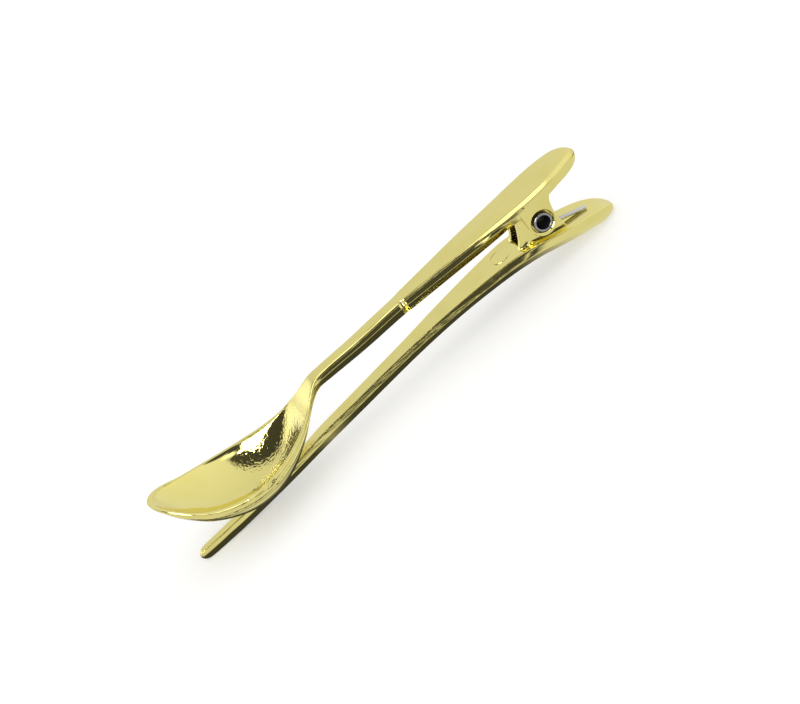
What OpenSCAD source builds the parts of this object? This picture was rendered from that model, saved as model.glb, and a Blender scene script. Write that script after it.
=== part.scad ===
/* [Pivot] */
// Outside diameter of the hollow pivot pin
pin_d = 2.2; // [2:0.05:2.25]
// Diameter of the bore through the pivot pin
pin_bore_d = 1.6; // [1.2:0.1:1.7]
// Length of the pivot pin
pin_len = 5.5; // [5.3:0.1:5.8]
// Radial play of the spoon arm's ears on the pin
ear_play = 0.08; // [0.02:0.01:0.1]

/* [Ears] */
// Distance from the middle plane to the outside of the spoon arm's ears
outer_ear_y = 2.6; // [2.55:0.01:2.62]
// Thickness of each of the spoon arm's ears
outer_ear_t = 0.75; // [0.6:0.05:0.8]
// Radius of the rounded end of the spoon arm's ears
outer_ear_r = 1.62; // [1.5:0.02:1.7]
// Side gap between an outer ear and the inner ear next to it
ear_gap = 0.1; // [0.05:0.01:0.15]
// Thickness of each of the lower arm's ears
inner_ear_t = 0.7; // [0.6:0.05:0.75]
// Radius of the rounded back of the lower arm's ears
inner_ear_r = 1.62; // [1.5:0.02:1.7]

/* [Spoon arm] */
// Half of the bowl's greatest width
bowl_w = 6.14; // [5.5:0.02:6.5]
// Width of the flat rim around the bowl
rim_w = 0.5; // [0.3:0.05:0.7]
// Thickness of the bowl's wall at the bottom
bowl_wall = 0.9; // [0.7:0.05:1.2]
// Half of the spoon handle's greatest width
handle_w = 2.7; // [2.68:0.01:2.8]
// Height of the gentle dome on the top of the stem and handle
stem_dome = 0.07; // [0.02:0.01:0.15]
// Depth of the nick in each side of the stem
nick_depth = 0.28; // [0.1:0.02:0.35]
// Size of the small bevel along the top edges
edge_bevel = 0.12; // [0.05:0.01:0.18]
// How far the ridge along the sides of both arms stands out
side_ridge = 0.24; // [0:0.02:0.3]

/* [Lower arm] */
// Half of the lower handle's greatest width
lower_w = 2.7; // [2.6:0.01:2.8]
// Height of the gentle dome on the inner face of the lower arm
lower_dome = 0.03; // [0.01:0.01:0.05]

/* [Spring] */
// Diameter of the spring wire
wire_d = 0.48; // [0.4:0.02:0.5]
// Sideways pitch of the coil
coil_pitch = 0.52; // [0.5:0.01:0.6]
// Free space between the coil and the pin
coil_play = 0.08; // [0.04:0.01:0.12]

/* [Hidden] */
gold = [0.93, 0.79, 0.47];
steel = [0.75, 0.76, 0.78];
inner_ear_y = outer_ear_y - outer_ear_t - ear_gap;
bowl_mid = -43.6;
bowl_tip = -52.4;
spoon_nose = 7.65;
lower_nose = 7.5;
lower_tip = -51.9;
nick_x = -17.4;
nick_half = 0.42;
coil_r = pin_d / 2 + coil_play + wire_d / 2;
inner_steps = 5;
outer_steps = 6;
wire_sides = 8;

// Side view of the spoon arm: x, height of the top edge, height of the lowest line
spoon_side = [
    [-52.4, 4.10, 3.88], [-52.1, 3.97, 3.48], [-51.6, 3.72, 2.66], [-50.8, 3.22, 1.28],
    [-49.6, 2.38, -0.10], [-48.0, 1.38, -1.48], [-45.8, 0.53, -2.76], [-43.6, -0.04, -3.62],
    [-41.4, -0.38, -3.88], [-39.2, -0.42, -3.72], [-37.1, -0.22, -3.02], [-34.9, 0.28, -1.70],
    [-32.7, 1.28, 0.00], [-31.2, 2.20, 1.02], [-30.0, 2.80, 1.52], [-28.3, 2.97, 1.50],
    [-24.0, 3.00, 1.42], [-18.5, 3.22, 1.52], [-13.1, 3.33, 1.58], [-6.5, 3.43, 1.70],
    [-2.2, 3.50, 1.88], [1.0, 3.60, 2.02], [4.4, 3.74, 2.10], [5.6, 3.78, 2.12],
    [6.6, 3.68, 2.22], [7.25, 3.46, 2.45], [7.55, 3.22, 2.70], [7.65, 3.06, 2.84]
];
// Half-width of the spoon arm from the widest part of the bowl to the pivot
spoon_plan = [
    [-43.6, 6.14], [-42.5, 6.10], [-41.4, 5.96], [-40.3, 5.73], [-38.2, 4.98], [-36.0, 4.06],
    [-33.8, 3.00], [-32.2, 2.08], [-31.0, 1.46], [-30.0, 1.06], [-29.0, 0.89], [-27.0, 0.87],
    [-24.0, 0.92], [-21.8, 0.96], [-18.0, 0.98], [-16.8, 1.15], [-13.1, 1.52], [-8.7, 1.98],
    [-4.4, 2.43], [-2.2, 2.62], [0.0, 2.70], [1.6, 2.70]
];
// Depth of the hollow of the bowl below its rim
hollow = [
    [-51.9, 0.0], [-51.4, 0.55], [-50.4, 1.25], [-48.0, 2.05], [-45.8, 2.45], [-43.6, 2.68],
    [-41.4, 2.60], [-39.2, 2.35], [-37.1, 1.75], [-35.4, 0.85], [-34.2, 0.20], [-33.5, 0.0]
];
// Side view and plan of the lower arm: x, inner face, underside, half-width
lower_side = [
    [-51.9, -5.10, -5.30, 0.12], [-51.65, -4.78, -5.62, 0.34], [-51.1, -4.57, -5.86, 0.46],
    [-50.0, -4.50, -5.90, 0.51], [-48.0, -4.40, -5.86, 0.55], [-45.8, -4.29, -5.78, 0.60],
    [-39.2, -3.90, -5.28, 0.72], [-32.7, -2.96, -4.62, 0.84], [-28.3, -2.59, -4.24, 0.95],
    [-24.0, -2.20, -3.86, 1.04], [-19.6, -1.85, -3.48, 1.19], [-15.3, -1.52, -3.20, 1.52],
    [-10.9, -1.30, -3.08, 1.92], [-6.5, -1.20, -3.20, 2.35], [-4.4, -1.28, -3.40, 2.54],
    [-2.2, -1.66, -3.80, 2.68], [0.0, -2.30, -4.46, 2.70], [2.2, -2.84, -5.10, 2.70],
    [4.4, -3.40, -5.62, 2.70], [5.5, -3.78, -5.90, 2.70], [6.4, -4.22, -5.90, 2.70],
    [7.1, -4.76, -5.80, 2.70], [7.42, -5.12, -5.62, 2.70], [7.5, -5.30, -5.42, 2.70]
];

function find(t, x, i = 0) = (i >= len(t) - 2 || x < t[i + 1][0]) ? i : find(t, x, i + 1);
function slope(t, i, k) =
    let(a = max(i - 1, 0), b = min(i + 1, len(t) - 1))
    (t[b][k] - t[a][k]) / (t[b][0] - t[a][0]);
function curve(t, k, x) =
    let(i = find(t, x), h = t[i + 1][0] - t[i][0], s = (x - t[i][0]) / h)
    (2 * s ^ 3 - 3 * s ^ 2 + 1) * t[i][k] + (s ^ 3 - 2 * s ^ 2 + s) * h * slope(t, i, k)
    + (3 * s ^ 2 - 2 * s ^ 3) * t[i + 1][k] + (s ^ 3 - s ^ 2) * h * slope(t, i + 1, k);
function ramp(a, b, x) = let(s = min(max((x - a) / (b - a), 0), 1)) s * s * (3 - 2 * s);
function round_end(mid, tip, x, power) =
    let(q = min(max((x - mid) / (tip - mid), 0), 0.998)) pow(1 - q * q, power);

// Positions along the arms, closer together where the ends turn round
spoon_x = concat(
    [for (i = [0:9]) bowl_mid + (bowl_tip - bowl_mid) * cos(i * 9)],
    [for (i = [0:12]) bowl_mid + i * 1.12],
    [-28.6, -26, -22, -18.6],
    [nick_x - nick_half, nick_x - nick_half / 2, nick_x, nick_x + nick_half / 2, nick_x + nick_half],
    [for (x = [-15.5, -12, -8.5, -5.5, -3, -1, 1]) x],
    [for (i = [1:9]) 1.6 + (spoon_nose - 1.6) * sin(i * 10)]
);
lower_x = concat(
    [lower_tip, -51.8, -51.5, -51.0],
    [-49.5, -46, -42, -38, -34, -30, -26, -22, -18, -15, -12, -9, -6.5, -4.5],
    [-3, -1.5, 0, 1],
    [for (i = [1:9]) 2 + (lower_nose - 2) * sin(i * 10)]
);

function spoon_half_w(x) =
    (x < bowl_mid ? bowl_w * round_end(bowl_mid, bowl_tip, x, 0.55)
    : x > 1.6 ? handle_w * round_end(1.6, spoon_nose, x, 0.5)
    : curve(spoon_plan, 1, x) * (x < -34 ? bowl_w / 6.14 : 1))
    - nick_depth * max(0, 1 - abs(x - nick_x) / nick_half);
function hollow_w(x) = x < bowl_mid
    ? (bowl_w - rim_w) * round_end(bowl_mid, bowl_tip + rim_w, x, 0.52)
    : spoon_half_w(x) - rim_w * ramp(-30, -36, x);
function hollow_depth(x) = (x < -51.9 || x > -33.5) ? 0
    : curve(hollow, 1, x) + (0.9 - bowl_wall) * ramp(-51.9, -49, x) * ramp(-34, -37, x);

// One half of a cross-section, from the top centre round to the bottom centre
function spoon_half(x) =
    let(w = max(spoon_half_w(x), 0.05), zt = curve(spoon_side, 1, x), zb = curve(spoon_side, 2, x),
        e = min(edge_bevel, 0.3 * w, 0.3 * (zt - zb)), wi = max(min(hollow_w(x), w - 1.5 * e), 0.1),
        d = hollow_depth(x), dome = stem_dome * ramp(-34, -29, x) * min(1, w / 1.2),
        q = 1 - 0.66 * ramp(-35.5, -29.5, x), p = 1 + 0.5 * ramp(-30, -35, x),
        ridge = side_ridge * ramp(-33, -29, x) * ramp(0.6, -1.6, x) * min(1, w / 1.4))
    concat(
        [for (j = [0:inner_steps]) let(a = 90 - 90 * j / inner_steps)
            [x, wi * cos(a), zt - (d - dome) * pow(sin(a), p)]],
        [[x, w - e, zt]],
        [for (j = [0:outer_steps]) let(a = 90 * j / outer_steps)
            [x, w * pow(cos(a), q) + ridge * sin(2 * a), zt - e - (zt - e - zb) * pow(sin(a), q)]]
    );
function lower_half_w(x) = x > 0.5
    ? lower_w * round_end(0.5, lower_nose, x, 0.45)
    : curve(lower_side, 3, x);
function lower_half(x) =
    let(w = max(lower_half_w(x), 0.06), zt = curve(lower_side, 1, x), zb = curve(lower_side, 2, x),
        e = min(edge_bevel, 0.3 * w, 0.3 * (zt - zb)), q = 0.4 + 0.2 * ramp(-6, 3, x),
        ridge = side_ridge * ramp(3, -6, x) * min(1, w / 2.7))
    concat(
        [for (j = [0:3]) let(a = 90 - 30 * j) [x, (w - 2 * e) * cos(a), zt + lower_dome * sin(a)]],
        [[x, w - e, zt]],
        [for (j = [0:outer_steps]) let(a = 90 * j / outer_steps)
            [x, w * pow(cos(a), q) + ridge * sin(2 * a), zt - e - (zt - e - zb) * pow(sin(a), q)]]
    );
function whole(half) = concat(half, [for (i = [len(half) - 2:-1:1]) [half[i][0], -half[i][1], half[i][2]]]);

// Skins a row of rings that all have the same number of points
module loft(rings) {
    n = len(rings[0]);
    m = len(rings);
    polyhedron(
        points = [for (r = rings) for (p = r) p],
        faces = concat(
            [for (i = [0:m - 2]) for (j = [0:n - 1]) let(a = i * n + j, b = i * n + (j + 1) % n)
                [a, b, b + n]],
            [for (i = [0:m - 2]) for (j = [0:n - 1]) let(a = i * n + j, b = i * n + (j + 1) % n)
                [a, b + n, a + n]],
            [[for (k = [0:n - 1]) (n / 2 + n - k) % n]],
            [[for (k = [0:n - 1]) (m - 1) * n + (n / 2 + k) % n]]
        ),
        convexity = 6
    );
}

// A flat outline drawn in x and z, as a plate from y = -t to y = 0 and then moved to its place
module plate(y, t) {
    translate([0, y, 0]) rotate([90, 0, 0]) linear_extrude(height = t) children();
}

module y_cylinder(r, l) {
    rotate([90, 0, 0]) cylinder(r = r, h = l, center = true, $fn = 72);
}

module outer_ear_outline() {
    circle(r = outer_ear_r, $fn = 96);
    polygon([[-outer_ear_r, 0], [-outer_ear_r, 2.9], [2.35, 2.9], [2.15, 2.1], [1.86, 1.7], [1.68, 1.1],
        [outer_ear_r, 0]]);
}

module inner_ear_outline() {
    circle(r = inner_ear_r, $fn = 96);
    polygon([[-2.35, 1.70], [-0.30, 1.70], [0, inner_ear_r - 0.01], [0, 0], [inner_ear_r - 0.01, 0],
        [1.85, -3.1],
        [-3.9, -2.1], [-3.9, -1.38], [-3.5, -0.8], [-3.15, -0.16], [-2.75, 0.75]]);
}

module spoon_arm() {
    color(gold)
    difference() {
        union() {
            loft([for (x = spoon_x) whole(spoon_half(x))]);
            plate(outer_ear_y, outer_ear_t) outer_ear_outline();
            plate(outer_ear_t - outer_ear_y, outer_ear_t) outer_ear_outline();
        }
        y_cylinder(pin_d / 2 + ear_play, 8);
    }
}

module lower_arm() {
    color(gold)
    difference() {
        union() {
            loft([for (x = lower_x) whole(lower_half(x))]);
            plate(inner_ear_y, inner_ear_t) inner_ear_outline();
            plate(inner_ear_t - inner_ear_y, inner_ear_t) inner_ear_outline();
        }
        y_cylinder(pin_d / 2, 8);
    }
}

module pivot_pin() {
    color(steel)
    difference() {
        y_cylinder(pin_d / 2, pin_len);
        y_cylinder(pin_bore_d / 2, pin_len + 2);
    }
}

// The spring's path: lower leg, coil round the pin, upper leg
leg_low = [4.9, -0.3, -3.36];
leg_up = [5.2, 0.35, 1.79];
function tangent_angle(p, side) =
    atan2(p[2], p[0]) + side * acos(coil_r / norm([p[0], p[2]]));
coil_from = tangent_angle(leg_low, -1);
coil_to = tangent_angle(leg_up, 1) - 1080;
coil_half = coil_pitch * (coil_from - coil_to) / 720;
coil_steps = 54;
function coil_point(s) =
    let(a = coil_from + (coil_to - coil_from) * s)
    [coil_r * cos(a), -coil_half + 2 * coil_half * s, coil_r * sin(a)];
spring_path = concat(
    [for (s = [0, 0.35, 0.7]) leg_low + (coil_point(0) - leg_low) * s],
    [for (i = [0:coil_steps]) coil_point(i / coil_steps)],
    [for (s = [0.3, 0.65, 1]) coil_point(1) + (leg_up - coil_point(1)) * s]
);
function unit(v) = v / norm(v);
function wire_ring(path, i) =
    let(a = path[max(i - 1, 0)], b = path[min(i + 1, len(path) - 1)], t = unit(b - a),
        u = unit([0, 1, 0] - t * t[1]), v = cross(t, u))
    [for (k = [0:wire_sides - 1]) path[i]
        + wire_d / 2 * (u * cos(k * 360 / wire_sides) + v * sin(k * 360 / wire_sides))];

module torsion_spring() {
    color(steel)
    loft([for (i = [0:len(spring_path) - 1]) wire_ring(spring_path, i)]);
}

spoon_arm();
lower_arm();
pivot_pin();
torsion_spring();
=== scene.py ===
"""A sprung metal hair clip: a spoon-shaped upper arm and a slim lower arm on a hollow pin.

Run as a script, it makes each piece over the fixed frame and dresses it in its finish.
"""

import math

import bmesh
import bpy
import numpy as np
from mathutils import Matrix, Vector


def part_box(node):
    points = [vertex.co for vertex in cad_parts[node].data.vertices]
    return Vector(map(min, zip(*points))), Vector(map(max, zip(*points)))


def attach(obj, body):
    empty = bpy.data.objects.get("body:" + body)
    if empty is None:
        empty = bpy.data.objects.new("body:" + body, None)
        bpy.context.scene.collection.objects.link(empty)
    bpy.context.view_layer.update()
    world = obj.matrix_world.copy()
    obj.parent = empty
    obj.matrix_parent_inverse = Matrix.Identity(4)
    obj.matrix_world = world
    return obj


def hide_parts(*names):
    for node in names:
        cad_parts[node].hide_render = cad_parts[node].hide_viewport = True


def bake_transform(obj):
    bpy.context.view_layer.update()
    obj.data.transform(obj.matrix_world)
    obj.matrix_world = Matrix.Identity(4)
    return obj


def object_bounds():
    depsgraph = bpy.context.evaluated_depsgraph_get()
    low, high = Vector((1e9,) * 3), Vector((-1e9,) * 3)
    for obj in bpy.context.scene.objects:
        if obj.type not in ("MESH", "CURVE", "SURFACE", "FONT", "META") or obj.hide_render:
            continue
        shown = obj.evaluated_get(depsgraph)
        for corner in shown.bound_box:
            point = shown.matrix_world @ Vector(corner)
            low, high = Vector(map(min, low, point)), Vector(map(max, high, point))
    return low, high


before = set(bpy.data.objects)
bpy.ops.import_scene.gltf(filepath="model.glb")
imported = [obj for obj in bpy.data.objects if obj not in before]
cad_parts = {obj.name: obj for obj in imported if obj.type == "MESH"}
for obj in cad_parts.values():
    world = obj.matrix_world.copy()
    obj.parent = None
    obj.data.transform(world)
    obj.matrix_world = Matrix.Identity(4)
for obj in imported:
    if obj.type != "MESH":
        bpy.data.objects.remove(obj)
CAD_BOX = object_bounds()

bl_info = {
    "name": "Spoon Hair Clip",
    "version": (1, 0, 0),
    "blender": (4, 5, 0),
    "location": "View3D > Sidebar > Hair Clip",
    "description": "Makes a gold plated alligator hair clip with a spoon-shaped upper arm",
    "category": "Add Mesh",
}

MM = 0.001
PIN_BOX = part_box("pivot_pin")
FLOOR_Z = CAD_BOX[0][2]
FLOOR_HALF = 0.9
# Camera: azimuth, elevation and roll in degrees, the place it looks at in mm, its distance in metres
CAMERA_ANGLES = (-2.0, 30.0, 39.9)
CAMERA_LOOK = (-20.85, 0, -2.05)
CAMERA_DISTANCE = 0.400

# Side view of the spoon arm in mm: x, height of the top edge, height of the lowest line
SPOON_SIDE = (
    (-52.4, 4.10, 3.88), (-52.1, 3.97, 3.48), (-51.6, 3.72, 2.66), (-50.8, 3.22, 1.28),
    (-49.6, 2.38, -0.10), (-48.0, 1.38, -1.48), (-45.8, 0.53, -2.76), (-43.6, -0.04, -3.62),
    (-41.4, -0.38, -3.88), (-39.2, -0.42, -3.72), (-37.1, -0.22, -3.02), (-34.9, 0.28, -1.70),
    (-32.7, 1.28, 0.00), (-31.2, 2.20, 1.02), (-30.0, 2.80, 1.52), (-28.3, 2.97, 1.50),
    (-24.0, 3.00, 1.42), (-18.5, 3.22, 1.52), (-13.1, 3.33, 1.58), (-6.5, 3.43, 1.70),
    (-2.2, 3.50, 1.88), (1.0, 3.60, 2.02), (4.4, 3.74, 2.10), (5.6, 3.78, 2.12),
    (6.6, 3.68, 2.22), (7.25, 3.46, 2.45), (7.55, 3.22, 2.70), (7.65, 3.06, 2.84),
)
# Half-width of the spoon arm in mm, from the widest part of the bowl to the pivot
SPOON_PLAN = (
    (-43.6, 6.14), (-42.5, 6.10), (-41.4, 5.96), (-40.3, 5.73), (-38.2, 4.98), (-36.0, 4.06),
    (-33.8, 3.00), (-32.2, 2.08), (-31.0, 1.46), (-30.0, 1.06), (-29.0, 0.89), (-27.0, 0.87),
    (-24.0, 0.92), (-21.8, 0.96), (-18.0, 0.98), (-16.8, 1.15), (-13.1, 1.52), (-8.7, 1.98),
    (-4.4, 2.43), (-2.2, 2.62), (0.0, 2.70), (1.6, 2.70),
)
# Depth in mm of the hollow of the bowl below its rim
HOLLOW = (
    (-51.9, 0.0), (-51.4, 0.55), (-50.4, 1.25), (-48.0, 2.05), (-45.8, 2.45), (-43.6, 2.68),
    (-41.4, 2.60), (-39.2, 2.35), (-37.1, 1.75), (-35.4, 0.85), (-34.2, 0.20), (-33.5, 0.0),
)
# Side view and plan of the lower arm in mm: x, inner face, underside, half-width
LOWER_SIDE = (
    (-51.9, -5.10, -5.30, 0.12), (-51.65, -4.78, -5.62, 0.34), (-51.1, -4.57, -5.86, 0.46),
    (-50.0, -4.50, -5.90, 0.51), (-48.0, -4.40, -5.86, 0.55), (-45.8, -4.29, -5.78, 0.60),
    (-39.2, -3.90, -5.28, 0.72), (-32.7, -2.96, -4.62, 0.84), (-28.3, -2.59, -4.24, 0.95),
    (-24.0, -2.20, -3.86, 1.04), (-19.6, -1.85, -3.48, 1.19), (-15.3, -1.52, -3.20, 1.52),
    (-10.9, -1.30, -3.08, 1.92), (-6.5, -1.20, -3.20, 2.35), (-4.4, -1.28, -3.40, 2.54),
    (-2.2, -1.66, -3.80, 2.68), (0.0, -2.30, -4.46, 2.70), (2.2, -2.84, -5.10, 2.70),
    (4.4, -3.40, -5.62, 2.70), (5.5, -3.78, -5.90, 2.70), (6.4, -4.22, -5.90, 2.70),
    (7.1, -4.76, -5.80, 2.70), (7.42, -5.12, -5.62, 2.70), (7.5, -5.27, -5.45, 2.70),
)
BOWL_MID, BOWL_TIP, SPOON_NOSE = -43.6, -52.4, 7.65
LOWER_TIP, LOWER_NOSE = -51.9, 7.5
BOWL_HALF_WIDTH = 6.14
# Nick in each side of the stem: place, half-length and depth in mm
NICK_X, NICK_HALF, NICK_DEPTH = -17.4, 0.42, 0.18
# Handles and ears in mm: half-width, inner side of the outer ears, sides and top of the inner ears
EAR_HALF_WIDTH = 2.7
OUTER_EAR_INSIDE = 1.84
INNER_EAR_SIDES = (1.08, 1.72)
INNER_EAR_TOP = 1.70
# Bores through the ears in mm: radius and countersink in the spoon arm, radius in the lower arm
SPOON_BORE, SPOON_SINK, LOWER_BORE = 1.31, 1.42, 1.104
# Cutters of the bores in mm: half-length, radius of their core, lift of the spoon arm's cutter
BORE_REACH, BORE_CORE, SPOON_BORE_LIFT = 3.4, 0.02, 0.12
# Height of the ridge along the sides of both arms, and what part of the arm's thickness lies above it
SIDE_RIDGE, RIDGE_LEVEL = 0.24, 0.42
# Ejector mark on the lower arm in mm: place, radius of the ring and half-width of its groove
MARK_X, MARK_RADIUS, MARK_GROOVE = -5.8, 1.25, 0.09
# Small casting marks on the near rim: place, size and height in mm
BLEMISHES = (
    ((-43.5, -6.1, -0.15), (0.26, 0.3, 0.22), 0.14),
    ((-40.8, -5.85, -0.62), (0.55, 0.4, 0.16), -0.16),
)
# Spring: ends of the lower and the upper leg, then the coil's inside radius and pitch, all in mm
LOWER_LEG, UPPER_LEG = (4.9, -0.3, -3.36), (5.2, 0.35, 1.79)
COIL_INSIDE, COIL_PITCH, COIL_TURNS = 1.18, 0.52, 3
# Angle in degrees above which an edge of a casting stays crisp
CRISP_EDGE = 40


def curve(table, column, x):
    """Smooth curve through one column of a table whose first column is x."""
    i = 0
    while i < len(table) - 2 and x >= table[i + 1][0]:
        i += 1

    def slope(k):
        a, b = table[max(k - 1, 0)], table[min(k + 1, len(table) - 1)]
        return (b[column] - a[column]) / (b[0] - a[0])

    p, q = table[i], table[i + 1]
    h = q[0] - p[0]
    s = (x - p[0]) / h
    return (
        (2 * s**3 - 3 * s**2 + 1) * p[column]
        + (s**3 - 2 * s**2 + s) * h * slope(i)
        + (3 * s**2 - 2 * s**3) * q[column]
        + (s**3 - s**2) * h * slope(i + 1)
    )


def ramp(a, b, x):
    """Smooth step from 0 at a to 1 at b."""
    s = min(max((x - a) / (b - a), 0.0), 1.0)
    return s * s * (3 - 2 * s)


def round_end(mid, tip, x, power):
    """Factor that rounds an arm off in plan between mid and its tip."""
    q = min(max((x - mid) / (tip - mid), 0.0), 0.9985)
    return (1 - q * q) ** power


def eased(a, b, count, start=True, end=True):
    """Positions from a to b, crowded towards the ends that are asked for."""
    out = []
    for i in range(count):
        s = i / (count - 1)
        if start and end:
            s = (1 - math.cos(math.pi * s)) / 2
        elif start:
            s = 1 - math.cos(math.pi / 2 * s)
        elif end:
            s = math.sin(math.pi / 2 * s)
        out.append(a + (b - a) * s)
    return out


def rounded_path(corners, straights, arc):
    """Points along a path of (y, z, radius) corners: each inner corner is rounded off with arc steps."""
    pts = []
    ends = [np.array(c[:2], float) for c in corners]
    last = ends[0]
    for i in range(1, len(corners) - 1):
        before, after = ends[i - 1] - ends[i], ends[i + 1] - ends[i]
        lb, la = np.linalg.norm(before), np.linalg.norm(after)
        cut = min(corners[i][2], 0.45 * lb, 0.45 * la)
        a = ends[i] + before / lb * cut
        b = ends[i] + after / la * cut
        for k in range(straights[i - 1]):
            pts.append(last + (a - last) * k / straights[i - 1])
        for k in range(arc):
            t = k / arc
            pts.append((1 - t) ** 2 * a + 2 * t * (1 - t) * ends[i] + t * t * b)
        last = b
    for k in range(straights[-1] + 1):
        pts.append(last + (ends[-1] - last) * k / straights[-1])
    return pts


def skin(name, rings):
    """Closed mesh object over a row of rings given in mm, each with the same number of points."""
    n, m = len(rings[0]), len(rings)
    points = [(p[0] * MM, p[1] * MM, p[2] * MM) for r in rings for p in r]
    faces = [
        (i * n + j, i * n + (j + 1) % n, (i + 1) * n + (j + 1) % n, (i + 1) * n + j)
        for i in range(m - 1)
        for j in range(n)
    ]
    for i, flip in ((0, True), (m - 1, False)):
        centre = np.mean(np.array(points[i * n:(i + 1) * n]), axis=0)
        points.append(tuple(centre))
        c = len(points) - 1
        for j in range(n):
            a, b = i * n + j, i * n + (j + 1) % n
            faces.append((c, b, a) if flip else (c, a, b))
    mesh = bpy.data.meshes.new(name)
    mesh.from_pydata(points, [], faces)
    mesh.validate()
    obj = bpy.data.objects.new(name, mesh)
    bpy.context.scene.collection.objects.link(obj)
    tidy_normals(obj)
    return obj


def tidy_normals(obj):
    """Merges doubles and turns every face outwards."""
    work = bmesh.new()
    work.from_mesh(obj.data)
    bmesh.ops.remove_doubles(work, verts=work.verts, dist=1e-7)
    bmesh.ops.recalc_face_normals(work, faces=work.faces)
    work.to_mesh(obj.data)
    work.free()
    obj.data.update()


def smooth(obj, degrees):
    """Smooth shading, with edges sharper than the angle kept crisp."""
    obj.data.shade_smooth()
    obj.data.set_sharp_from_angle(angle=math.radians(degrees))


def whole(half, x):
    """Full ring at x from the half that runs from the top centre round to the bottom centre."""
    ring = [(x, p[0], p[1]) for p in half]
    return ring + [(x, -p[0], p[1]) for p in half[-2:0:-1]]


def lathe(name, profile, steps):
    """Closed ring about the Y axis from a closed (radius, y) profile in mm."""
    rings = []
    for i in range(steps):
        a = 2 * math.pi * i / steps
        rings.append([(r * math.cos(a) * MM, y * MM, r * math.sin(a) * MM) for r, y in profile])
    n = len(profile)
    faces = [
        (i * n + j, i * n + (j + 1) % n, (i + 1) % steps * n + (j + 1) % n, (i + 1) % steps * n + j)
        for i in range(steps)
        for j in range(n)
    ]
    mesh = bpy.data.meshes.new(name)
    mesh.from_pydata([p for r in rings for p in r], [], faces)
    obj = bpy.data.objects.new(name, mesh)
    bpy.context.scene.collection.objects.link(obj)
    tidy_normals(obj)
    return obj


def cut_away(obj, cutter):
    """Subtracts the cutter from the object and removes it."""
    bpy.context.view_layer.update()
    mod = obj.modifiers.new("Bore", "BOOLEAN")
    mod.operation = "DIFFERENCE"
    mod.solver = "EXACT"
    mod.object = cutter
    bpy.context.view_layer.update()
    made = bpy.data.meshes.new_from_object(obj.evaluated_get(bpy.context.evaluated_depsgraph_get()))
    obj.modifiers.clear()
    old = obj.data
    obj.data = made
    made.name = obj.name
    bpy.data.meshes.remove(old)
    bpy.data.objects.remove(cutter, do_unlink=True)


# ---------------------------------------------------------------- spoon arm


def spoon_half_width(x):
    """Half-width of the spoon arm seen from above, in mm."""
    if x < BOWL_MID:
        w = BOWL_HALF_WIDTH * round_end(BOWL_MID, BOWL_TIP, x, 0.55)
    elif x > 1.6:
        w = EAR_HALF_WIDTH * round_end(1.6, SPOON_NOSE, x, 0.5)
    else:
        w = curve(SPOON_PLAN, 1, x)
    return max(w, 0.05)


def hollow_half_width(x, rim):
    """Half-width of the bowl's hollow inside a rim of the given width, in mm."""
    if x < BOWL_MID:
        return (BOWL_HALF_WIDTH - rim) * round_end(BOWL_MID, BOWL_TIP + rim, x, 0.52)
    return spoon_half_width(x) - rim * ramp(-30.0, -36.0, x)


def hollow_depth(x):
    """Depth of the hollow below the rim, in mm."""
    return curve(HOLLOW, 1, x) if -51.9 < x < -33.5 else 0.0


def outer_ear_bottom(x, under):
    """Lowest line of the spoon arm at the ears' width, in mm."""
    if -1.62 <= x <= 1.58:
        return -math.sqrt(max(1.64**2 - x * x, 0.0))
    if 1.58 < x < 2.6:
        s = (x - 1.58) / (2.6 - 1.58)
        return -0.44 + (under + 0.44) * (1 - (1 - s) ** 3.2)
    return under


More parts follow.
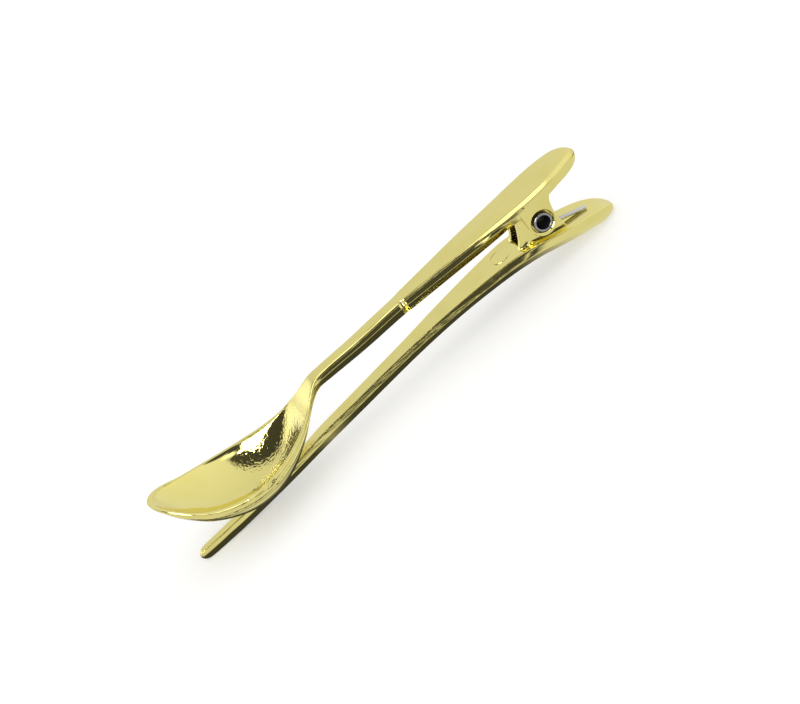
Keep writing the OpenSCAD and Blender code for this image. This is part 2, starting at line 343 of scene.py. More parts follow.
def spoon_ring(x, rim):
    """Cross-section of the spoon arm: a thin shell in the bowl, a ridged bar beyond it, with the ears."""
    zt, zb = curve(SPOON_SIDE, 1, x), curve(SPOON_SIDE, 2, x)
    w = spoon_half_width(x)
    thick = zt - zb
    slant = min(0.22 * ramp(-9.0, -2.0, x), 0.25 * w)
    wi = max(min(hollow_half_width(x, rim), w - 0.2 - slant), 0.45 * w)
    depth = hollow_depth(x)
    dome = 0.09 * ramp(-34.0, -29.0, x) * min(1.0, w / 1.4)
    p = 0.5 + 0.22 * ramp(-30.0, -35.0, x)
    half = []
    for j in range(17):
        s = math.sin(math.pi / 2 * j / 16)
        half.append((wi * s, zt - (depth - dome) * (1 - s * s) ** p))
    # edge of the top face, then down the outside
    e = min(0.17, 0.3 * w, 0.3 * thick)
    at_ears = ramp(-2.2, -0.5, x) * (1 - ramp(6.4, 7.5, x))
    flat = 1 - ramp(-29.0, -33.0, x)
    nick = max(0.0, 1 - ((x - NICK_X) / NICK_HALF) ** 2) ** 1.5 * NICK_DEPTH
    top_w = w - 0.04 * flat * (1 - at_ears) * min(1.0, w) - nick
    edge = [
        (wi, zt, 0),
        (top_w - slant - 0.6 * e, zt, 0.04),
        (top_w, zt - 1.25 * slant - 0.75 * e, 0.03),
        (top_w + 0.02 * (1 - at_ears), zt - 1.4 * slant - 1.8 * e, 0),
    ]
    half += rounded_path(edge, [2, 1, 1], 4)[1:]
    start = half[-1]
    ear = outer_ear_bottom(x, zb)
    k = w / EAR_HALF_WIDTH
    corner = 0.16 if ear < zb - 0.05 else 0.25 * thick
    tuck = (0.42 * (1 - ramp(-3.0, -1.7, x)) + 0.25 * ramp(2.3, 4.0, x)) * k**0.5
    ridge = w + SIDE_RIDGE * flat * (1 - at_ears) * min(1.0, w / 1.4)
    stem = rounded_path(
        [
            (start[0], start[1], 0),
            (ridge - nick * 0.8, zt - RIDGE_LEVEL * thick, 0.08),
            (max(w - tuck - nick, 0.4 * w), ear, corner),
            ((OUTER_EAR_INSIDE + 0.02) * k, ear, 0.14),
            (OUTER_EAR_INSIDE * k, zb, 0.14),
            (0, zb, 0),
        ],
        [5, 6, 4, 4, 6], 6,
    )
    count = len(stem)
    crease_depth = 0.12 * ramp(-31.0, -34.0, x) * ramp(-51.5, -48.5, x)
    bowl = []
    for j in range(count):
        s = j / (count - 1)
        a = math.pi / 2 * s**1.5
        y, z = w * math.cos(a), start[1] - (start[1] - zb) * math.sin(a)
        crease = crease_depth * math.exp(-(((s**1.5 - 0.11) / 0.03) ** 2))
        bowl.append((y + crease * math.cos(a), z - crease * math.sin(a)))
    for (by, bz), (sy, sz) in zip(bowl[1:], stem[1:]):
        half.append((by + (sy - by) * flat, bz + (sz - bz) * flat))
    return whole(half, x)


def spoon_positions():
    """Where along the arm its rings lie, closer together where the shape turns quickly."""
    xs = eased(BOWL_TIP, -50.5, 14, True, False) + eased(-50.5, BOWL_MID, 34, False, False)[1:]
    xs += list(np.linspace(BOWL_MID, -29.0, 74))[1:] + list(np.linspace(-29.0, -17.95, 26))[1:]
    xs += list(np.linspace(-17.9, -16.9, 15)) + list(np.linspace(-16.7, -2.0, 34))
    xs += [-1.8, -1.68, -1.66, -1.62, -1.60, -1.57, -1.52, -1.45]
    xs += list(np.linspace(-1.35, 1.2, 26)) + eased(1.25, 1.58, 8, False, True)
    xs += list(np.linspace(1.62, 2.6, 16))
    xs += list(np.linspace(2.75, 5.6, 16)) + eased(5.7, SPOON_NOSE, 26, False, True)
    return xs


# ---------------------------------------------------------------- lower arm


def lower_half_width(x):
    """Half-width of the lower arm seen from above, in mm."""
    if x > 0.5:
        return max(EAR_HALF_WIDTH * round_end(0.5, LOWER_NOSE, x, 0.45), 0.06)
    return curve(LOWER_SIDE, 3, x)


def inner_ear_top(x, face):
    """Highest line of the lower arm at the ears' width, in mm."""
    if -4.0 < x <= -2.35:
        return face + (INNER_EAR_TOP - face) * ((x + 4.0) / 1.65) ** 1.5
    if -2.35 < x <= 0:
        return INNER_EAR_TOP
    if 0 < x <= 1.55:
        return math.sqrt(INNER_EAR_TOP**2 - x * x)
    if 1.55 < x < 1.95:
        s = (x - 1.55) / 0.40
        return 0.70 + (face - 0.70) * s**0.8
    return face


def lower_ring(x):
    """Cross-section of the lower arm: a ridged bar, with the ears and the foot in front of them."""
    zt, zb = curve(LOWER_SIDE, 1, x), curve(LOWER_SIDE, 2, x)
    w = lower_half_width(x)
    thick = zt - zb
    k = min(w / EAR_HALF_WIDTH, 1.0)
    ear = max(inner_ear_top(x, zt), zt)
    e = min(0.12, 0.3 * w, 0.3 * thick)
    dome = 0.03 * k
    root = 0.32 * ramp(-4.2, -3.4, x) * ramp(-1.7, -2.9, x)
    belly = ramp(-6.0, 3.0, x)
    half = [(1.02 * k * j / 6, zt + dome * (1 - (j / 6) ** 2)) for j in range(6)]
    half += rounded_path(
        [
            (1.02 * k, zt, 0),
            (1.06 * k, zt, 0.12),
            (INNER_EAR_SIDES[0] * k, ear, 0.10),
            (INNER_EAR_SIDES[1] * k, ear, 0.10),
            (1.75 * k, zt + 1.6 * root * min(1.0, (ear - zt) / 2.5), 0.6 * root + 0.1),
            ((1.83 + root) * k, zt, 0.4 * root + 0.12),
            (w - 0.04 * k, zt, e),
            (w + SIDE_RIDGE * k**0.5 * (1 - belly), zt - RIDGE_LEVEL * thick, 0.08),
            (w * (0.72 - 0.12 * belly), zb, 0.4 * thick),
            (0, zb, 0),
        ],
        [1, 5, 4, 5, 4, 3, 4, 5, 6], 6,
    )
    return whole(half, x)


def lower_positions():
    """Where along the arm its rings lie, closer together where the shape turns quickly."""
    xs = eased(LOWER_TIP, -50.6, 14, True, False) + list(np.linspace(-50.4, -4.6, 88))
    xs += list(np.linspace(-4.4, -3.55, 12)) + list(np.linspace(-3.5, -2.36, 22)) + [-2.35, -2.33, -2.28]
    xs += list(np.linspace(-2.2, 1.4, 28)) + [1.46, 1.52, 1.55] + list(np.linspace(1.57, 1.95, 12))
    xs += list(np.linspace(2.1, 5.4, 20)) + eased(5.5, LOWER_NOSE, 26, False, True)
    return xs


# ---------------------------------------------------------------- finishes


def new_group(name, inputs, outputs):
    """Empty shader node group with named inputs (name, kind, default) and outputs (name, kind)."""
    group = bpy.data.node_groups.new(name, "ShaderNodeTree")
    for label, kind, default in inputs:
        socket = group.interface.new_socket(name=label, in_out="INPUT", socket_type=kind)
        socket.default_value = default
    for label, kind in outputs:
        group.interface.new_socket(name=label, in_out="OUTPUT", socket_type=kind)
    return group, group.nodes.new("NodeGroupInput"), group.nodes.new("NodeGroupOutput")


def math_node(nodes, links, kind, a, b=None, c=None):
    """Math node whose inputs are sockets or numbers; returns its output socket."""
    node = nodes.new("ShaderNodeMath")
    node.operation = kind
    for i, v in enumerate((a, b, c)):
        if v is None:
            continue
        if isinstance(v, (int, float)):
            node.inputs[i].default_value = v
        else:
            links.new(v, node.inputs[i])
    return node.outputs[0]


def noise_node(nodes, links, vector, scale, detail, rough=0.5):
    """Noise texture whose scale is a socket or a number; returns its value output."""
    node = nodes.new("ShaderNodeTexNoise")
    node.inputs["Detail"].default_value = detail
    node.inputs["Roughness"].default_value = rough
    if isinstance(scale, (int, float)):
        node.inputs["Scale"].default_value = scale
    else:
        links.new(scale, node.inputs["Scale"])
    links.new(vector, node.inputs["Vector"])
    return node.outputs["Fac"]


def plating_group():
    """Skin of a polished, plated surface: slow ripple, pitting, drawn-out lines, and duller patches."""
    found = bpy.data.node_groups.get("Plated Skin")
    if found:
        return found
    group, ins, outs = new_group(
        "Plated Skin",
        [
            ("Ripple Scale", "NodeSocketFloat", 900.0),
            ("Pit Scale", "NodeSocketFloat", 3000.0),
            ("Pit Amount", "NodeSocketFloat", 0.25),
            ("Hollow Amount", "NodeSocketFloat", 0.0),
            ("Streak Scale", "NodeSocketFloat", 3500.0),
            ("Streak Amount", "NodeSocketFloat", 0.0),
            ("Smooth Roughness", "NodeSocketFloat", 0.07),
            ("Dull Roughness", "NodeSocketFloat", 0.2),
        ],
        [("Height", "NodeSocketFloat"), ("Roughness", "NodeSocketFloat"), ("Dullness", "NodeSocketFloat")],
    )
    nodes, links = group.nodes, group.links
    coords = nodes.new("ShaderNodeTexCoord")
    place = coords.outputs["Object"]
    ripple = noise_node(nodes, links, place, ins.outputs["Ripple Scale"], 2.0)
    pits = noise_node(nodes, links, place, ins.outputs["Pit Scale"], 1.0, 0.4)
    patches = noise_node(nodes, links, place, 260.0, 3.0)
    axes = nodes.new("ShaderNodeSeparateXYZ")
    links.new(place, axes.inputs[0])

    def step(value, start, end):
        node = nodes.new("ShaderNodeMapRange")
        node.interpolation_type = "SMOOTHSTEP"
        node.inputs["From Min"].default_value = start
        node.inputs["From Max"].default_value = end
        links.new(value, node.inputs["Value"])
        return node.outputs[0]

    def along(start, end):
        return step(axes.outputs["X"], start * MM, end * MM)

    facing = nodes.new("ShaderNodeSeparateXYZ")
    links.new(coords.outputs["Normal"], facing.inputs[0])
    # the deep end of the bowl, where the polishing wheel does not reach
    hollow = math_node(nodes, links, "SUBTRACT", along(-44.0, -40.5), along(-34.5, -32.0))
    hollow = math_node(nodes, links, "MULTIPLY", hollow, step(facing.outputs["Z"], 0.6, 0.85))
    pitting = math_node(
        nodes, links, "MULTIPLY_ADD", hollow, ins.outputs["Hollow Amount"], ins.outputs["Pit Amount"]
    )
    height = math_node(nodes, links, "MULTIPLY_ADD", pits, pitting, ripple)
    # fine drawn-out lines along the sides of the arms, which end before the ears
    sides = step(math_node(nodes, links, "ABSOLUTE", facing.outputs["Y"]), 0.3, 0.8)
    sides = math_node(nodes, links, "SUBTRACT", sides, along(-7.0, -3.0))
    sides = math_node(nodes, links, "MAXIMUM", math_node(nodes, links, "SUBTRACT", sides, hollow), 0.0)
    drawn = nodes.new("ShaderNodeMapping")
    drawn.inputs["Scale"].default_value = (0.02, 1.0, 1.0)
    links.new(place, drawn.inputs["Vector"])
    streaks = noise_node(nodes, links, drawn.outputs["Vector"], ins.outputs["Streak Scale"], 2.0)
    calm = math_node(nodes, links, "MULTIPLY_ADD", sides, -0.75, 1.0)
    height = math_node(nodes, links, "MULTIPLY", height, calm)
    amount = math_node(nodes, links, "MULTIPLY", sides, ins.outputs["Streak Amount"])
    height = math_node(nodes, links, "MULTIPLY_ADD", streaks, amount, height)
    dull = nodes.new("ShaderNodeMapRange")
    dull.inputs["From Min"].default_value = 0.45
    dull.inputs["From Max"].default_value = 0.75
    links.new(patches, dull.inputs["Value"])
    mix = nodes.new("ShaderNodeMapRange")
    links.new(dull.outputs[0], mix.inputs["Value"])
    links.new(ins.outputs["Smooth Roughness"], mix.inputs["To Min"])
    links.new(ins.outputs["Dull Roughness"], mix.inputs["To Max"])
    links.new(height, outs.inputs["Height"])
    links.new(mix.outputs[0], outs.inputs["Roughness"])
    links.new(dull.outputs[0], outs.inputs["Dullness"])
    return group


def metal(name, colour, dull_colour, skin_values, bump):
    """Polished metal in which the plated skin drives colour, roughness and relief."""
    mat = bpy.data.materials.new(name)
    mat.use_nodes = True
    nodes, links = mat.node_tree.nodes, mat.node_tree.links
    shader = nodes["Principled BSDF"]
    shader.inputs["Metallic"].default_value = 1.0
    skin_node = nodes.new("ShaderNodeGroup")
    skin_node.node_tree = plating_group()
    for key, value in skin_values.items():
        skin_node.inputs[key].default_value = value
    tint = nodes.new("ShaderNodeMix")
    tint.data_type = "RGBA"
    tint.inputs["A"].default_value = (*colour, 1.0)
    tint.inputs["B"].default_value = (*dull_colour, 1.0)
    links.new(skin_node.outputs["Dullness"], tint.inputs["Factor"])
    links.new(tint.outputs["Result"], shader.inputs["Base Color"])
    links.new(skin_node.outputs["Roughness"], shader.inputs["Roughness"])
    relief = nodes.new("ShaderNodeBump")
    relief.inputs["Strength"].default_value = 1.0
    relief.inputs["Distance"].default_value = bump
    links.new(skin_node.outputs["Height"], relief.inputs["Height"])
    links.new(relief.outputs["Normal"], shader.inputs["Normal"])
    return mat


def gold_finish(finish):
    """Polished pale gold plating, shared by both castings."""
    found = bpy.data.materials.get("Pale Gold Plating")
    if found:
        return found
    return metal(
        "Pale Gold Plating", tuple(finish.gold), tuple(finish.gold_dull),
        {"Ripple Scale": 700.0, "Pit Scale": 3000.0, "Pit Amount": 0.15, "Hollow Amount": 4.5,
         "Streak Scale": 3200.0, "Streak Amount": 1.6,
         "Smooth Roughness": finish.gold_roughness, "Dull Roughness": finish.gold_roughness * 1.8},
        finish.ripple_height,
    )


def steel_finish(finish, name, roughness, shade):
    """Plain steel, a little darker or rougher as asked."""
    found = bpy.data.materials.get(name)
    if found:
        return found
    return metal(
        name, tuple(c * shade for c in finish.steel), tuple(c * shade * 0.8 for c in finish.steel),
        {"Ripple Scale": 1500.0, "Pit Scale": 5200.0, "Pit Amount": 0.4,
         "Smooth Roughness": roughness, "Dull Roughness": roughness * 1.6},
        4e-6,
    )


def bore_painted_shade():
    """Painted shade inside the pin's bore: unpolished steel, darkened to stand in for the shade deep in the
    tube.
    """
    return metal(
        "Bore Steel Painted Shade", (0.05, 0.055, 0.05), (0.025, 0.025, 0.022),
        {"Ripple Scale": 1500.0, "Pit Scale": 5200.0, "Pit Amount": 0.6,
         "Smooth Roughness": 0.45, "Dull Roughness": 0.7},
        6e-6,
    )


# ---------------------------------------------------------------- settings


class HairClipShape(bpy.types.PropertyGroup):
    """Sizes of the clip that can be changed without moving its joint."""

    rim: bpy.props.FloatProperty(
        name="Bowl Rim", description="Width of the flat rim around the bowl, in millimetres",
        default=0.5, min=0.3, max=0.7,
    )
    wire: bpy.props.FloatProperty(
        name="Spring Wire", description="Diameter of the spring wire",
        default=0.48 * MM, min=0.4 * MM, max=0.5 * MM, unit="LENGTH", precision=5,
    )
    pin_outer: bpy.props.FloatProperty(
        name="Pin Radius", description="Outside radius of the hollow pivot pin",
        default=PIN_BOX[1][0], min=0.001, max=0.0012, unit="LENGTH", precision=5,
    )
    pin_bore: bpy.props.FloatProperty(
        name="Pin Bore", description="Radius of the bore through the pivot pin",
        default=0.8 * MM, min=0.6 * MM, max=0.9 * MM, unit="LENGTH", precision=5,
    )


class HairClipFinish(bpy.types.PropertyGroup):
    """Colours and gloss of the plating, the pin and the spring."""

    gold: bpy.props.FloatVectorProperty(
        name="Gold", description="Colour of the clean plating", subtype="COLOR",
        default=(0.80, 0.715, 0.255), min=0.0, max=1.0,
    )
    gold_dull: bpy.props.FloatVectorProperty(
        name="Worn Gold", description="Colour of the plating where it is a little duller", subtype="COLOR",
        default=(0.76, 0.67, 0.21), min=0.0, max=1.0,
    )
    gold_roughness: bpy.props.FloatProperty(
        name="Gold Roughness", description="Roughness of the clean plating",
        default=0.075, min=0.02, max=0.5,
    )
    ripple_height: bpy.props.FloatProperty(
        name="Ripple Height", description="Height of the slow ripple in the casting's polished skin",
        default=1.2e-5, min=0.0, max=5e-5, unit="LENGTH", precision=6,
    )
    steel: bpy.props.FloatVectorProperty(
        name="Steel", description="Colour of the pin and the spring", subtype="COLOR",
        default=(0.62, 0.62, 0.63), min=0.0, max=1.0,
    )


class HairClipStudio(bpy.types.PropertyGroup):
    """Floor, light and camera."""

    floor: bpy.props.FloatVectorProperty(
        name="Floor", description="Colour of the floor", subtype="COLOR",
        default=(0.60, 0.60, 0.60), min=0.0, max=1.0,
    )
    floor_glow: bpy.props.FloatProperty(
        name="Floor Glow", description="Light of the floor's own, which keeps the shadow on it faint",
        default=0.45, min=0.0, max=1.0,
    )
    sky: bpy.props.FloatProperty(
        name="Room Light", description="Strength of the room that the metal mirrors",
        default=1.0, min=0.0, max=3.0,
    )
    key: bpy.props.FloatProperty(
        name="Key Light", description="Power of the large soft box", default=2.0, min=0.0, max=5.0,
        subtype="POWER",
    )
    ambient: bpy.props.FloatProperty(
        name="Ambient", description="Even light that reaches the floor from all around",
        default=0.92, min=0.0, max=3.0,
    )
    fill: bpy.props.FloatProperty(
        name="Fill Light", description="Power of the overhead light on the floor",
        default=0.6, min=0.0, max=20.0, subtype="POWER",
    )
    lens: bpy.props.FloatProperty(
        name="Lens", description="Focal length of the camera in millimetres",
        default=165.0, min=50.0, max=300.0,
    )


# ---------------------------------------------------------------- operators


def dab(obj, place, size, height):
    """Raises a small nub, or sinks a small dent, in the surface around a place given in mm."""
    mesh = obj.data
    centre = np.array(place) * MM
    normals = [tuple(v.normal) for v in mesh.vertices]
    for vert, normal in zip(mesh.vertices, normals):
        reach = np.linalg.norm((np.array(vert.co) - centre) / (np.array(size) * MM))
        if reach < 3.0:
            vert.co += Vector(normal) * height * MM * math.exp(-reach * reach)
    mesh.update()


class HAIRCLIP_OT_spoon_arm(bpy.types.Operator):
    """Make the spoon arm: bowl, stem and handle in one casting, with two ears for the pin"""

    bl_idname = "hairclip.spoon_arm"
    bl_label = "Spoon Arm"

    def execute(self, context):
        shape, finish = context.scene.hairclip_shape, context.scene.hairclip_finish
        arm = skin("spoon_casting", [spoon_ring(x, shape.rim) for x in spoon_positions()])
        right = [(SPOON_BORE, 2.56), (SPOON_SINK, 2.66), (SPOON_SINK, BORE_REACH), (BORE_CORE, BORE_REACH)]
        hole = lathe("hole", [(r, -y) for r, y in reversed(right)] + right, 96)
        hole.data.transform(Matrix.Translation((0, 0, SPOON_BORE_LIFT * MM)))
        cut_away(arm, hole)
        for place, size, height in BLEMISHES:
            dab(arm, place, size, height)
        smooth(arm, CRISP_EDGE)
        arm.data.materials.clear()
        arm.data.materials.append(gold_finish(finish))
        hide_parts("spoon_arm")
        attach(arm, "spoon")
        return {"FINISHED"}


def ejector_mark():
    """Cutter for the faint round groove that the mould's ejector leaves on the lower arm's inner face."""
    groove = [
        (MARK_RADIUS + MARK_GROOVE * math.cos(a), MARK_GROOVE * math.sin(a))
        for a in np.linspace(0, 2 * math.pi, 11)[:-1]
    ]
    mark = lathe("ejector_mark", groove, 72)
    turn = Matrix.Rotation(math.radians(90), 4, "X")
    place = Matrix.Translation((MARK_X * MM, 0, (curve(LOWER_SIDE, 1, MARK_X) + 0.05) * MM))
    mark.data.transform(place @ turn)
    return mark


class HAIRCLIP_OT_lower_arm(bpy.types.Operator):
    """Make the lower arm: a slim tapered bar and handle in one casting, with two inner ears"""

    bl_idname = "hairclip.lower_arm"
    bl_label = "Lower Arm"

    def execute(self, context):
        finish = context.scene.hairclip_finish
        arm = skin("lower_casting", [lower_ring(x) for x in lower_positions()])
        right = [(LOWER_BORE, BORE_REACH), (BORE_CORE, BORE_REACH)]
        cut_away(arm, lathe("hole", [(r, -y) for r, y in reversed(right)] + right, 96))
        cut_away(arm, ejector_mark())
        smooth(arm, CRISP_EDGE)
        arm.data.materials.clear()
        arm.data.materials.append(gold_finish(finish))
        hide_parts("lower_arm")
        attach(arm, "lower")
        return {"FINISHED"}


class HAIRCLIP_OT_pivot_pin(bpy.types.Operator):
    """Make the hollow pivot pin with its rounded lips"""

    bl_idname = "hairclip.pivot_pin"
    bl_label = "Pivot Pin"

    def execute(self, context):
        shape, finish = context.scene.hairclip_shape, context.scene.hairclip_finish
        outer, bore = shape.pin_outer / MM, shape.pin_bore / MM
        end = PIN_BOX[1][1] / MM
        lip = (outer - bore) / 2
        profile = []
        for side in (1, -1):
            turn = [(bore + lip - lip * math.cos(a), side * (end - lip + lip * math.sin(a)))
                    for a in np.linspace(0, math.pi, 13)]
            profile += turn if side == 1 else turn[::-1]
        pin = lathe("hollow_pin", profile, 128)
        smooth(pin, 50)
        pin.data.materials.append(steel_finish(finish, "Pin Steel", 0.18, 0.6))
        pin.data.materials.append(bore_painted_shade())
        # Faces inside the bore take the painted shade material
        inside = (bore + 0.35 * lip) * MM
        for face in pin.data.polygons:
            if math.hypot(face.center.x, face.center.z) < inside:
                face.material_index = 1
        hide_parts("pivot_pin")
        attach(pin, "lower")
        return {"FINISHED"}


def wire_tree(material):
    """Geometry Nodes tree that draws round wire along a path."""
    tree = bpy.data.node_groups.new("Spring Wire", "GeometryNodeTree")
    tree.interface.new_socket(name="Path", in_out="INPUT", socket_type="NodeSocketGeometry")
    radius = tree.interface.new_socket(name="Wire Radius", in_out="INPUT", socket_type="NodeSocketFloat")
    radius.default_value = 0.24 * MM
    sides = tree.interface.new_socket(name="Sides", in_out="INPUT", socket_type="NodeSocketInt")
    sides.default_value = 20
    tree.interface.new_socket(name="Wire", in_out="OUTPUT", socket_type="NodeSocketGeometry")
    nodes, links = tree.nodes, tree.links
    ins, outs = nodes.new("NodeGroupInput"), nodes.new("NodeGroupOutput")
    circle = nodes.new("GeometryNodeCurvePrimitiveCircle")
    links.new(ins.outputs["Sides"], circle.inputs["Resolution"])
    links.new(ins.outputs["Wire Radius"], circle.inputs["Radius"])
    sweep = nodes.new("GeometryNodeCurveToMesh")
    sweep.inputs["Fill Caps"].default_value = True
    links.new(ins.outputs["Path"], sweep.inputs["Curve"])
    links.new(circle.outputs["Curve"], sweep.inputs["Profile Curve"])
    real = nodes.new("GeometryNodeRealizeInstances")
    links.new(sweep.outputs["Mesh"], real.inputs["Geometry"])
    paint = nodes.new("GeometryNodeSetMaterial")
    paint.inputs["Material"].default_value = material
    links.new(real.outputs["Geometry"], paint.inputs["Geometry"])
    links.new(paint.outputs["Geometry"], outs.inputs["Wire"])
    return tree


def tangent_angle(point, side, radius):
    """Angle at which a straight leg from the point meets the coil."""
    return math.atan2(point[2], point[0]) + side * math.acos(radius / math.hypot(point[0], point[2]))


def spring_path(radius):
    """Points in mm of the spring's wire: lower leg, coil round the pin, upper leg."""
    low, up = np.array(LOWER_LEG), np.array(UPPER_LEG)
    start = tangent_angle(low, -1, radius)
    end = tangent_angle(up, 1, radius) - COIL_TURNS * 2 * math.pi
    half = COIL_PITCH * (start - end) / (4 * math.pi)

    def on_coil(s):
        a = start + (end - start) * s
        return np.array((radius * math.cos(a), -half + 2 * half * s, radius * math.sin(a)))

    pts = [low + (on_coil(0) - low) * s for s in np.linspace(0, 0.96, 12)]
    pts += [on_coil(s) for s in np.linspace(0, 1, 160)]
    pts += [on_coil(1) + (up - on_coil(1)) * s for s in np.linspace(0.04, 1, 12)]
    return pts


class HAIRCLIP_OT_torsion_spring(bpy.types.Operator):
    """Make the torsion spring: one wire coiled round the pin, with a leg under each handle"""

    bl_idname = "hairclip.torsion_spring"
    bl_label = "Torsion Spring"

    def execute(self, context):
        shape, finish = context.scene.hairclip_shape, context.scene.hairclip_finish
        radius = COIL_INSIDE + shape.wire / MM / 2
        points = spring_path(radius)
        line = bpy.data.curves.new("spring_path", "CURVE")
        line.dimensions = "3D"
        spline = line.splines.new("POLY")
        spline.points.add(len(points) - 1)
        for p, q in zip(spline.points, points):
            p.co = (*(q * MM), 1.0)
        path = bpy.data.objects.new("spring_path", line)
        context.scene.collection.objects.link(path)
        tree = wire_tree(steel_finish(finish, "Spring Wire Steel", 0.24, 1.0))
        mod = path.modifiers.new("Wire", "NODES")
        mod.node_group = tree
        for item in tree.interface.items_tree:
            if item.in_out == "INPUT" and item.name == "Wire Radius":
                mod[item.identifier] = shape.wire / 2
        context.view_layer.update()
        mesh = bpy.data.meshes.new_from_object(path.evaluated_get(context.evaluated_depsgraph_get()))
        bpy.data.objects.remove(path, do_unlink=True)
        wire = bpy.data.objects.new("spring_wire", mesh)
        context.scene.collection.objects.link(wire)
        tidy_normals(wire)
        smooth(wire, 50)
        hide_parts("torsion_spring")
        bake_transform(wire)
        return {"FINISHED"}


class HAIRCLIP_OT_studio(bpy.types.Operator):
    """Make the floor, the lights and the camera"""

    bl_idname = "hairclip.studio"
    bl_label = "Studio"

    def execute(self, context):
        studio = context.scene.hairclip_studio
        scene = context.scene
        scene.view_settings.view_transform = "Standard"
        mesh = bpy.data.meshes.new("floor")
        s = FLOOR_HALF
        corners = [(-s, -s, FLOOR_Z), (s, -s, FLOOR_Z), (s, s, FLOOR_Z), (-s, s, FLOOR_Z)]
        mesh.from_pydata(corners, [], [(0, 1, 2, 3)])
        floor = bpy.data.objects.new("floor", mesh)
        scene.collection.objects.link(floor)
        mesh.materials.append(floor_finish(studio))
        self.make_world(scene, studio)
        self.make_lights(scene, studio)
        self.make_camera(scene, studio)
        return {"FINISHED"}

    def make_world(self, scene, studio):
        world = bpy.data.worlds.new("Soft Room")
        scene.world = world
        world.use_nodes = True
        nodes, links = world.node_tree.nodes, world.node_tree.links
        axes = nodes.new("ShaderNodeSeparateXYZ")
        place = nodes.new("ShaderNodeTexCoord").outputs["Generated"]
        links.new(place, axes.inputs[0])
        x, y, z = axes.outputs

        def fade(value, start, end, low, high):
            node = nodes.new("ShaderNodeMapRange")
            node.interpolation_type = "SMOOTHSTEP"
            for key, number in (("From Min", start), ("From Max", end), ("To Min", low), ("To Max", high)):
                node.inputs[key].default_value = number
            links.new(value, node.inputs["Value"])
            return node.outputs[0]

        def spot(azimuth, elevation, radius, soft):
            """Mask round a direction, all in degrees; azimuth 0 is +Y and 90 is +X."""
            az, el = math.radians(azimuth), math.radians(elevation)
            aim = nodes.new("ShaderNodeVectorMath")
            aim.operation = "DOT_PRODUCT"
            level = math.cos(el)
            aim.inputs[1].default_value = (math.sin(az) * level, math.cos(az) * level, math.sin(el))
            links.new(place, aim.inputs[0])
            outer = math.cos(math.radians(radius + soft))
            inner = math.cos(math.radians(max(radius - soft, 0.0)))
            return fade(aim.outputs["Value"], outer, inner, 0.0, 1.0)

        room = math_node(nodes, links, "MULTIPLY_ADD", x, 0.10, 0.93)
        room = math_node(nodes, links, "MULTIPLY_ADD", y, -0.10, room)
        room = math_node(nodes, links, "MULTIPLY_ADD", spot(-38, 8, 14, 8), 0.6, room)
        overhead = spot(178, 50, 7, 5)
        room = math_node(nodes, links, "MULTIPLY_ADD", overhead, 0.9, room)
        curtain = spot(-110, 40, 54, 4)
        curtain = math_node(nodes, links, "MULTIPLY", curtain, fade(z, 0.16, 0.32, 0.0, 1.0))
        curtain = math_node(nodes, links, "SUBTRACT", curtain, overhead)
        dark = math_node(nodes, links, "MAXIMUM", curtain, spot(178, 16, 21, 5))
        left = math_node(nodes, links, "MULTIPLY_ADD", dark, -0.93, 1.0)
        total = math_node(nodes, links, "MULTIPLY", room, left)
        back = nodes["Background"]
        back.inputs["Color"].default_value = (1, 1, 1, 1)
        seen = math_node(nodes, links, "MULTIPLY", total, studio.sky)
        soft = nodes.new("ShaderNodeMix")
        links.new(nodes.new("ShaderNodeLightPath").outputs["Is Glossy Ray"], soft.inputs["Factor"])
        soft.inputs["A"].default_value = studio.ambient
        links.new(seen, soft.inputs["B"])
        links.new(soft.outputs["Result"], back.inputs["Strength"])

    def make_lights(self, scene, studio):
        for name, spot, width, depth, power, mirrored in (
            ("key", (-0.263, -0.206, 0.301), 0.25, 0.36, studio.key, True),
            ("fill", (0.05, 0.10, 0.70), 0.90, 0.90, studio.fill, False),
        ):
            light = bpy.data.lights.new(name, "AREA")
            light.shape = "RECTANGLE"
            light.size, light.size_y = width, depth
            light.energy = power
            obj = bpy.data.objects.new(name, light)
            scene.collection.objects.link(obj)
            obj.location = spot
            obj.rotation_euler = (Vector((-0.03, 0, 0)) - Vector(spot)).to_track_quat("-Z", "Y").to_euler()
            obj.visible_glossy = mirrored
            obj.visible_diffuse = not mirrored

    def make_camera(self, scene, studio):
        data = bpy.data.cameras.new("camera")
        data.sensor_width = 36.0
        data.lens = studio.lens
        data.clip_start, data.clip_end = 0.01, 10.0
        camera = bpy.data.objects.new("camera", data)
        scene.collection.objects.link(camera)
        azimuth, elevation, roll = (math.radians(a) for a in CAMERA_ANGLES)
        back = Vector((math.sin(azimuth) * math.cos(elevation), -math.cos(azimuth) * math.cos(elevation),
                       math.sin(elevation)))
        side = Vector((math.cos(azimuth), math.sin(azimuth), 0))
        up = back.cross(side)
        right = side * math.cos(roll) - up * math.sin(roll)
        top = side * math.sin(roll) + up * math.cos(roll)
        place = Vector(CAMERA_LOOK) * MM + back * CAMERA_DISTANCE
        camera.matrix_world = Matrix(
            (
                (right.x, top.x, back.x, place.x),
                (right.y, top.y, back.y, place.y),
                (right.z, top.z, back.z, place.z),
                (0, 0, 0, 1),
            )
        )
        scene.camera = camera


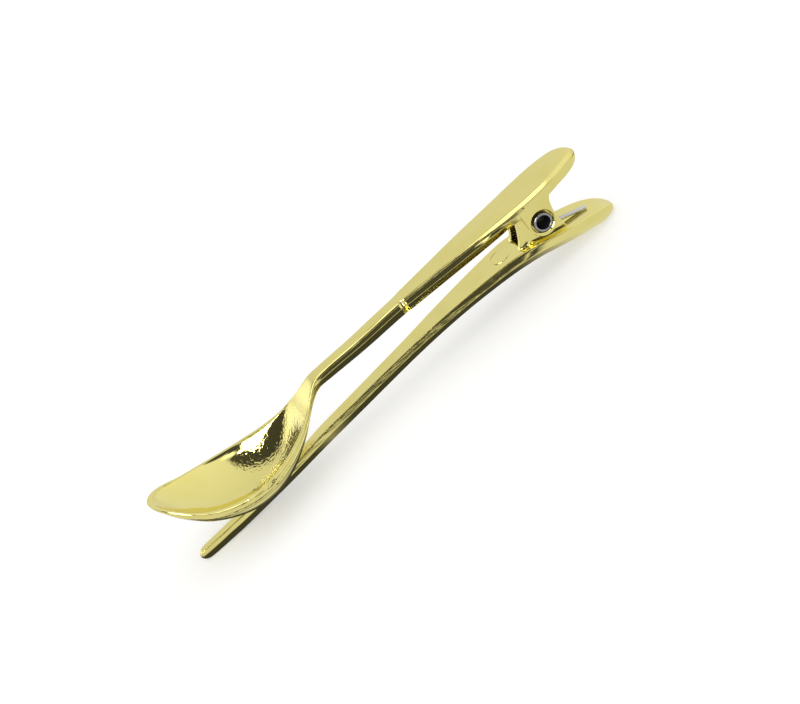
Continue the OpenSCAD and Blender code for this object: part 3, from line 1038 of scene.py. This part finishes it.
def floor_finish(studio):
    """Pale matt floor; the polished metal mirrors it with painted shade: a dark strip right beside and under
    the clip and a dark patch in front of it.
    """
    mat = bpy.data.materials.new("Pale Floor")
    mat.use_nodes = True
    nodes, links = mat.node_tree.nodes, mat.node_tree.links
    shader = nodes["Principled BSDF"]
    shader.inputs["Base Color"].default_value = (*studio.floor, 1)
    shader.inputs["Roughness"].default_value = 0.9
    shader.inputs["Emission Color"].default_value = (1, 1, 1, 1)
    shader.inputs["Emission Strength"].default_value = studio.floor_glow
    place = nodes.new("ShaderNodeTexCoord").outputs["Object"]

    def painted_shade_ellipse(centre_x, centre_y, half_length, half_width):
        """Painted shade for reflections: brightness that drops within an ellipse beside the clip, all in mm.
        """
        shift = nodes.new("ShaderNodeMapping")
        shift.vector_type = "TEXTURE"
        shift.inputs["Location"].default_value = (centre_x * MM, centre_y * MM, 0)
        shift.inputs["Scale"].default_value = (half_length * MM, half_width * MM, 1)
        links.new(place, shift.inputs["Vector"])
        reach = nodes.new("ShaderNodeVectorMath")
        reach.operation = "LENGTH"
        links.new(shift.outputs["Vector"], reach.inputs[0])
        edge = nodes.new("ShaderNodeMapRange")
        edge.interpolation_type = "SMOOTHSTEP"
        for key, number in (("From Min", 0.6), ("From Max", 1.15), ("To Min", 0.06), ("To Max", 0.85)):
            edge.inputs[key].default_value = number
        links.new(reach.outputs["Value"], edge.inputs["Value"])
        return edge.outputs[0]

    # Painted shade that glossy rays see on the floor: dark under and beside the bar and the bowl, and in
    # front of the clip
    reflected_painted_shade = math_node(nodes, links, "MINIMUM", painted_shade_ellipse(-17.5, 0, 19.0, 10.0), painted_shade_ellipse(-43.0, 0, 14.0, 5.0))
    reflected_painted_shade = math_node(nodes, links, "MINIMUM", reflected_painted_shade, painted_shade_ellipse(-22.0, -65.0, 60.0, 45.0))
    # For glossy rays only, the floor glows with this painted shade in place of its lit surface
    shade_seen_by_glossy = nodes.new("ShaderNodeEmission")
    links.new(reflected_painted_shade, shade_seen_by_glossy.inputs["Strength"])
    mirrored = nodes.new("ShaderNodeMixShader")
    links.new(nodes.new("ShaderNodeLightPath").outputs["Is Glossy Ray"], mirrored.inputs["Fac"])
    links.new(shader.outputs[0], mirrored.inputs[1])
    links.new(shade_seen_by_glossy.outputs[0], mirrored.inputs[2])
    links.new(mirrored.outputs[0], nodes["Material Output"].inputs["Surface"])
    return mat


class HAIRCLIP_PT_panel(bpy.types.Panel):
    """Sidebar panel with the clip's settings and pieces"""

    bl_idname = "HAIRCLIP_PT_panel"
    bl_label = "Hair Clip"
    bl_space_type = "VIEW_3D"
    bl_region_type = "UI"
    bl_category = "Hair Clip"

    def draw(self, context):
        layout = self.layout
        scene = context.scene
        for group in (scene.hairclip_shape, scene.hairclip_finish, scene.hairclip_studio):
            box = layout.box()
            for name in group.__annotations__:
                box.prop(group, name)
        for operator in PIECES:
            layout.operator(operator.bl_idname)


PIECES = (
    HAIRCLIP_OT_spoon_arm,
    HAIRCLIP_OT_lower_arm,
    HAIRCLIP_OT_pivot_pin,
    HAIRCLIP_OT_torsion_spring,
    HAIRCLIP_OT_studio,
)
CLASSES = (HairClipShape, HairClipFinish, HairClipStudio, *PIECES, HAIRCLIP_PT_panel)


def register():
    for cls in CLASSES:
        bpy.utils.register_class(cls)
    bpy.types.Scene.hairclip_shape = bpy.props.PointerProperty(type=HairClipShape)
    bpy.types.Scene.hairclip_finish = bpy.props.PointerProperty(type=HairClipFinish)
    bpy.types.Scene.hairclip_studio = bpy.props.PointerProperty(type=HairClipStudio)


def unregister():
    del bpy.types.Scene.hairclip_studio
    del bpy.types.Scene.hairclip_finish
    del bpy.types.Scene.hairclip_shape
    for cls in reversed(CLASSES):
        bpy.utils.unregister_class(cls)


def main():
    register()
    bpy.ops.hairclip.spoon_arm()
    bpy.ops.hairclip.lower_arm()
    bpy.ops.hairclip.pivot_pin()
    bpy.ops.hairclip.torsion_spring()
    bpy.ops.hairclip.studio()
    bpy.context.view_layer.update()


if __name__ == "__main__":
    main()
